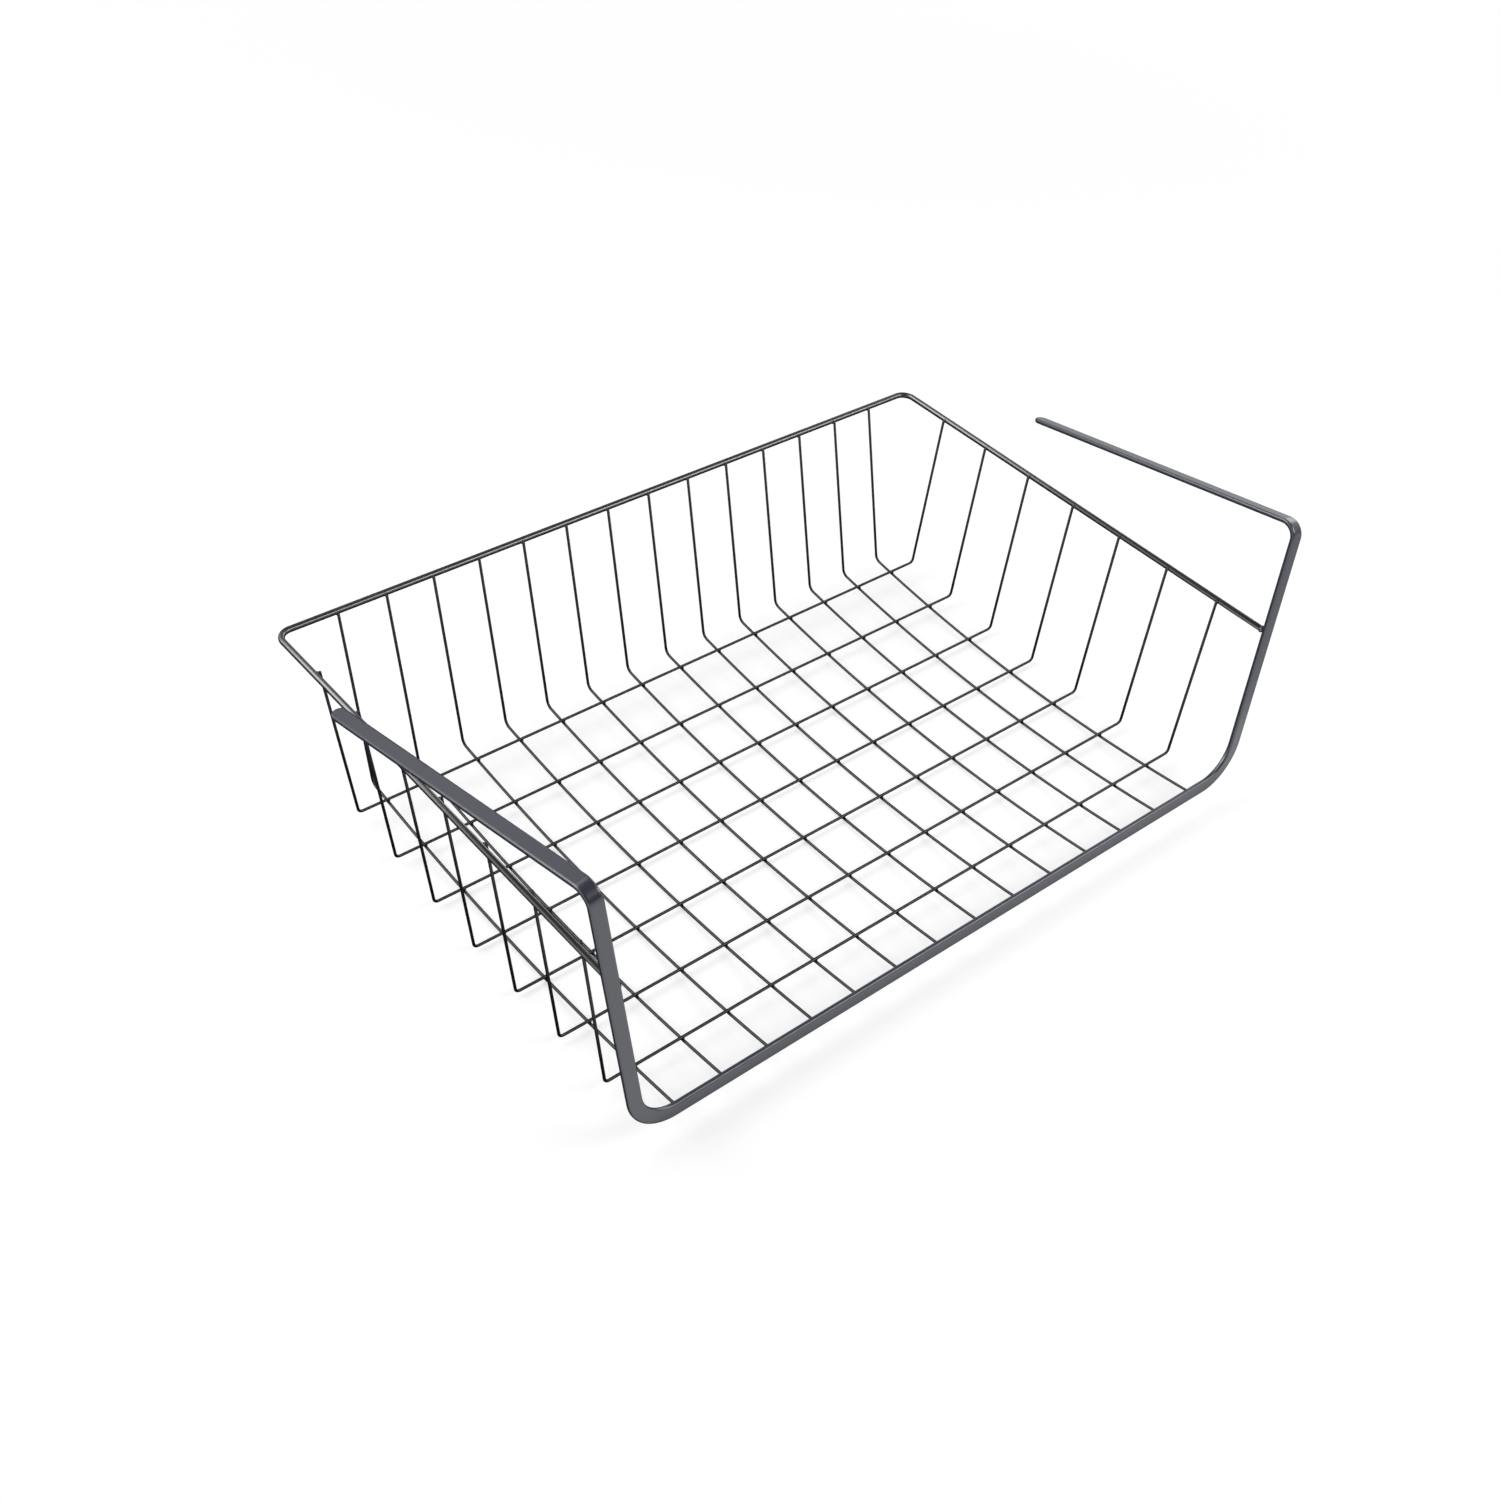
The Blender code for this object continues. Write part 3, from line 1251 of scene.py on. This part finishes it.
@dataclass
class CrossWires(Wires):
    """The thin wires that run over the long wires and up both side walls."""

    def build(self, bender: WireBender, shop: CoatShop) -> None:
        """Bend the wires and put their finish on.

        Args:
            bender: Tree that makes wires.
            shop: Source of the materials.
        """
        sizes = self.sizes
        paths = WirePaths()
        for depth in sizes.cross_depths():
            paths.add(self._path(depth))
        values = {
            "Wire Radius": sizes.grid_r,
            "Bend Radius": sizes.cross_bend_radius,
            "Finish": shop.material(GRID_COAT),
        }
        piece = self.bend("cross_wires", paths, bender, values)
        nodes = tuple(f"cross_wire_{index + 1}" for index in range(sizes.cross_count))
        fit_piece(piece, nodes)

    def _path(self, depth: float) -> list[PathPoint]:
        """Give the path of one wire.

        Args:
            depth: Distance of the wire behind the rail.

        Returns:
            The corners down the left wall, over the floor and up the right wall.
        """
        sizes = self.sizes
        height = sizes.cross_height(depth)
        rise = sizes.rim_z - height
        share = (rise + sizes.wire_end_above_rim) / rise
        foot = Vector((sizes.cross_half, sizes.front_y + depth, height))
        wall = Vector((sizes.side_wall_lean, sizes.side_lean_back, rise)) * share
        top = foot + wall
        return [
            PathPoint(Vector((-top.x, top.y, top.z))),
            PathPoint(Vector((-foot.x, foot.y, foot.z)), bend=1.0),
            PathPoint(foot, bend=1.0),
            PathPoint(top),
        ]


@dataclass
class Nugget:
    """One weld: where it is, and the direction in which it is thin."""

    place: Vector
    aim: Vector


@dataclass
class Welds:
    """The weld nuggets that hold the basket together."""

    sizes: BasketSizes
    crossing_across: float = 0.00095
    crossing_along: float = 0.00070
    rim_across: float = 0.00095
    rim_towards: float = 0.00115
    rail_across: float = 0.00095
    rail_along: float = 0.00070
    rail_behind: float = 0.00060
    upright_across: float = 0.00200
    upright_along: float = 0.00100
    unevenness: float = 0.10
    seed: int = 7

    def build(self, maker: NuggetMaker, shop: CoatShop) -> None:
        """Make the welds of each kind and put their finish on.

        Args:
            maker: Tree that makes nuggets.
            shop: Source of the materials.
        """
        crossing = (self.crossing_across, self.crossing_along)
        rim = (self.rim_across, self.rim_across)
        rail = (self.rail_across, self.rail_along)
        upright = (self.upright_across, self.upright_along)
        groups = (
            ("crossing_welds", self._crossings(), crossing, GRID_COAT),
            ("rim_welds", self._rim(), rim, GRID_COAT),
            ("rail_welds", self._rail(), rail, GRID_COAT),
            ("upright_welds", self._uprights(), upright, RIM_COAT),
        )
        for name, nuggets, (across, along), coat in groups:
            values = {
                "Across": across,
                "Along": along,
                "Unevenness": self.unevenness,
                "Seed": self.seed,
                "Finish": shop.material(coat),
            }
            fit_piece(maker.run(name, self._mesh(nuggets), values))

    def _mesh(self, nuggets: list[Nugget]) -> bpy.types.Mesh:
        """Give the nuggets' places as a mesh with their aims.

        Args:
            nuggets: The welds of one kind.

        Returns:
            A mesh of single points.
        """
        mesh = bpy.data.meshes.new("nugget_places")
        mesh.from_pydata([tuple(nugget.place) for nugget in nuggets], [], [])
        aims = [value for nugget in nuggets for value in nugget.aim]
        mesh.attributes.new("aim", "FLOAT_VECTOR", "POINT").data.foreach_set("vector", aims)
        return mesh

    def _crossings(self) -> list[Nugget]:
        """List the welds between the long and the cross wires.

        Returns:
            The welds, one for each crossing.
        """
        sizes = self.sizes
        nuggets = []
        for depth in sizes.cross_depths():
            slope = math.atan(sizes.floor_slope(depth))
            up = Vector((0.0, -math.sin(slope), math.cos(slope)))
            for x in sizes.long_offsets():
                contact = Vector((x, sizes.front_y + depth, sizes.floor_height(depth)))
                nuggets.append(Nugget(contact + up * (sizes.long_to_cross / 2.0), up))
        return nuggets

    def _rim(self) -> list[Nugget]:
        """List the welds between the wall wires and the rim.

        Returns:
            The welds on the back run and then those on both side runs.
        """
        sizes = self.sizes
        reach = self.rim_towards
        nuggets = []
        y = sizes.front_y + sizes.floor_depth + sizes.back_wall_lean + reach
        for x in sizes.long_offsets():
            nuggets.append(Nugget(Vector((x, y, sizes.rim_z)), Vector((0.0, 1.0, 0.0))))
        x = sizes.cross_half + sizes.side_wall_lean + reach
        for depth in sizes.cross_depths():
            y = sizes.front_y + depth + sizes.side_lean_back
            for side in (-1.0, 1.0):
                place = Vector((side * x, y, sizes.rim_z))
                nuggets.append(Nugget(place, Vector((side, 0.0, 0.0))))
        return nuggets

    def _rail(self) -> list[Nugget]:
        """List the welds between the rail's lower edge and the long wires.

        Returns:
            The welds, one for each long wire.
        """
        sizes = self.sizes
        lean = sizes.front_lean
        up = Vector((0.0, math.sin(lean), math.cos(lean)))
        drop = sizes.strip_half + sizes.weld_gap / 2.0
        nuggets = []
        for x in sizes.long_offsets():
            middle = Vector((x, sizes.front_y + self.rail_behind, sizes.rail_z))
            nuggets.append(Nugget(middle - up * drop, up))
        return nuggets

    def _uprights(self) -> list[Nugget]:
        """List the welds between the rim's ends and the uprights.

        Returns:
            The left and the right weld.
        """
        sizes = self.sizes
        toward = Vector((0.0, 1.0, 0.0))
        return [
            Nugget(Vector((side * sizes.rim_half, sizes.rim_start_y, sizes.rim_z)), toward)
            for side in (-1.0, 1.0)
        ]


@dataclass(frozen=True)
class Softbox:
    """A soft light with a flat bright face.

    Attributes:
        name: Name of the light.
        towards: Direction from the basket to the light.
        distance: Distance from the basket's middle.
        width: Width of the face.
        height: Height of the face.
        brightness: Brightness of the face, 1 for white.
        tilt: Turn of the face in its own plane, in degrees.
    """

    name: str
    towards: Triple
    distance: float
    width: float
    height: float
    brightness: float
    tilt: float = 0.0

    POWER_SHARE = 4.0

    def place(self, middle: Vector) -> None:
        """Set the light up, aimed at the basket.

        Args:
            middle: The basket's middle.
        """
        lamp = bpy.data.lights.new(self.name, "AREA")
        lamp.shape = "RECTANGLE"
        lamp.size = self.width
        lamp.size_y = self.height
        lamp.energy = self.POWER_SHARE * self.width * self.height * self.brightness
        item = show(self.name, lamp)
        away = Vector(self.towards).normalized()
        turn = Matrix.Rotation(math.radians(self.tilt), 3, "Z")
        facing = away.to_track_quat("Z", "Y").to_matrix() @ turn
        item.location = middle + away * self.distance
        item.rotation_euler = facing.to_euler()


@dataclass(frozen=True)
class Flag:
    """A dark or grey card that only mirror images show.

    Attributes:
        name: Name of the card.
        centre: Middle of the card.
        facing: Direction that the card faces.
        width: Width of the card.
        height: Height of the card.
        shade: Brightness of the card.
    """

    name: str
    centre: Triple
    facing: Triple
    width: float
    height: float
    shade: float

    UNSEEN_BY = ("camera", "diffuse", "shadow", "transmission")

    def place(self) -> None:
        """Set the card up."""
        turn = Vector(self.facing).to_track_quat("Z", "Y").to_matrix()
        mesh = card_mesh(self.name, self.width, self.height, Vector(self.centre), turn)
        material = bpy.data.materials.new(self.name)
        material.use_nodes = True
        feeds = {
            "Base Color": grey(0.0),
            "Specular IOR Level": 0.0,
            "Emission Color": grey(1.0),
            "Emission Strength": self.shade,
        }
        shader = material.node_tree.nodes["Principled BSDF"]
        NodeBench(material.node_tree).feed(shader, feeds)
        mesh.materials.append(material)
        card = show(self.name, mesh)
        for rays in self.UNSEEN_BY:
            setattr(card, f"visible_{rays}", False)


@dataclass
class Studio:
    """Pale floor, white surroundings, soft lights and flags."""

    floor_side: float = 12.0
    floor_colour: float = 0.80
    seen_floor_colour: float = 0.45
    seen_floor_glow: float = 0.60
    shadow_reach: float = 0.45
    white_reach: float = 1.20
    room_light: float = 0.22
    middle: Triple = (0.0, 0.0, 0.07)
    softboxes: tuple[Softbox, ...] = (
        Softbox("front_softbox", (0.52, -0.648, 0.557), 1.3, 0.85, 0.44, 5.5, tilt=-26.0),
        Softbox("right_softbox", (0.87, 0.20, 0.42), 2.0, 0.80, 0.80, 2.2),
        Softbox("left_softbox", (-0.70, 0.47, 0.53), 2.0, 1.20, 0.70, 4.8),
        Softbox("top_softbox", (-0.30, 0.45, 0.84), 2.0, 1.40, 1.20, 2.1),
    )
    flags: tuple[Flag, ...] = (
        Flag("front_flag", (-0.3, -2.8, 1.6), (0.1, 0.9, -0.45), 7.0, 3.4, 0.03),
        Flag("right_flag", (3.0, -1.9, 0.90), (-0.84, 0.53, 0.0), 2.4, 1.5, 0.05),
        Flag("back_flag", (0.9, 2.7, 0.65), (-0.32, -0.95, 0.0), 2.2, 1.3, 0.02),
        Flag("top_flag", (0.9, 1.0, 3.4), (0.0, 0.1, -1.0), 7.4, 7.2, 0.08),
        # The two floor cards paint shade into mirror images: a dark one stands for shade under
        # and behind the basket, a grey one dims the floor's reflection at the front right.
        Flag("floor_shade_flag", (0.0, 0.56, 0.00003), (0.0, 0.0, 1.0), 2.4, 1.4, 0.01),
        Flag("dim_floor_flag", (0.65, -0.42, 0.00003), (0.0, 0.0, 1.0), 0.8, 0.5, 0.60),
    )

    def build(self) -> None:
        """Set the floor, the surroundings, the lights and the view settings."""
        self._floor()
        self._surroundings()
        for softbox in self.softboxes:
            softbox.place(Vector(self.middle))
        for flag in self.flags:
            flag.place()
        bpy.context.scene.view_settings.view_transform = "Standard"

    def _mix(self, bench: NodeBench, share: Socket, first: Socket, second: Socket) -> Socket:
        """Mix two shaders by the share of the second."""
        feeds = {"Fac": share, 1: first, 2: second}
        return bench.add("ShaderNodeMixShader", feeds)[0]

    def _seen(self, bench: NodeBench) -> Socket:
        """Tell the rays that see the background: straight, mirrored or through glass.

        Args:
            bench: Bench of the tree that asks.

        Returns:
            The socket that gives 1 for those rays.
        """
        path = bench.add("ShaderNodeLightPath")
        mirrored = bench.math("MAXIMUM", path["Is Camera Ray"], path["Is Glossy Ray"])
        return bench.math("MAXIMUM", mirrored, path["Is Transmission Ray"])

    def _far(self, bench: NodeBench) -> Socket:
        """Tell the floor around the basket from where its shadow can't reach.

        Args:
            bench: Bench of the floor's material.

        Returns:
            The socket that goes from 0 near the basket to 1 far away.
        """
        place = bench.add("ShaderNodeTexCoord")["Object"]
        reach = bench.add("ShaderNodeVectorMath", {0: place}, operation="LENGTH")
        feeds = {
            "Value": reach["Value"],
            "From Min": self.shadow_reach,
            "From Max": self.white_reach,
        }
        fade = bench.add("ShaderNodeMapRange", feeds, interpolation_type="SMOOTHSTEP")
        return fade["Result"]

    def _floor(self) -> None:
        """Lay the pale floor."""
        side = self.floor_side
        mesh = card_mesh("floor", side, side, Vector(), Matrix.Identity(3))
        material = bpy.data.materials.new("floor_paper")
        material.use_nodes = True
        bench = NodeBench(material.node_tree)
        bench.tree.nodes.clear()
        plain = bench.add("ShaderNodeBsdfDiffuse", {"Color": grey(self.floor_colour)})[0]
        lit = bench.add("ShaderNodeBsdfDiffuse", {"Color": grey(self.seen_floor_colour)})[0]
        glow = bench.add("ShaderNodeEmission", {"Strength": self.seen_floor_glow})[0]
        near = bench.add("ShaderNodeAddShader", {0: lit, 1: glow})[0]
        white = bench.add("ShaderNodeEmission")[0]
        seen = self._mix(bench, self._far(bench), near, white)
        surface = self._mix(bench, self._seen(bench), plain, seen)
        bench.add("ShaderNodeOutputMaterial", {"Surface": surface})
        mesh.materials.append(material)
        floor = show("floor", mesh)

    def _surroundings(self) -> None:
        """Light the room evenly, and show it white."""
        world = bpy.data.worlds.new("studio")
        bpy.context.scene.world = world
        world.use_nodes = True
        bench = NodeBench(world.node_tree)
        bench.tree.nodes.clear()
        feeds = {"Color": grey(1.0), "Strength": self.room_light}
        room = bench.add("ShaderNodeBackground", feeds)[0]
        white = bench.add("ShaderNodeBackground", {"Color": grey(1.0)})[0]
        surface = self._mix(bench, self._seen(bench), room, white)
        bench.add("ShaderNodeOutputWorld", {"Surface": surface})


@dataclass(frozen=True)
class PhotoCamera:
    """Camera at the photograph's angle.

    Attributes:
        location: Place of the camera.
        turn: Its turns about X, Y and Z, in degrees.
        lens: Focal length, in millimetres.
        sensor: Width of the sensor, in millimetres.
        shift: Sideways and upward shift, as shares of the sensor's width.
    """

    location: Triple = (-0.487084, -0.466687, 0.623544)
    turn: Triple = (49.0147, -5.3794, -40.0651)
    lens: float = 45.105
    sensor: float = 36.0
    shift: tuple[float, float] = (0.00146, -0.02118)

    def build(self) -> None:
        """Set the camera up and make it the scene's camera."""
        data = bpy.data.cameras.new("photo_camera")
        data.lens = self.lens
        data.sensor_width = self.sensor
        data.shift_x, data.shift_y = self.shift
        item = show("photo_camera", data)
        item.location = self.location
        item.rotation_euler = Euler([math.radians(angle) for angle in self.turn])
        bpy.context.scene.camera = item


def main() -> None:
    """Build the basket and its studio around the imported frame."""
    logging.basicConfig(level=logging.INFO, format="%(name)s: %(message)s")
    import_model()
    PhotoCamera().build()
    Studio().build()
    sizes = BasketSizes()
    shop = CoatShop()
    bender = WireBender()
    FrontStrip(sizes).build(shop)
    RimLoop(sizes).build(bender, shop)
    LongWires(sizes).build(bender, shop)
    CrossWires(sizes).build(bender, shop)
    Welds(sizes).build(NuggetMaker(), shop)


if __name__ == "__main__":
    main()
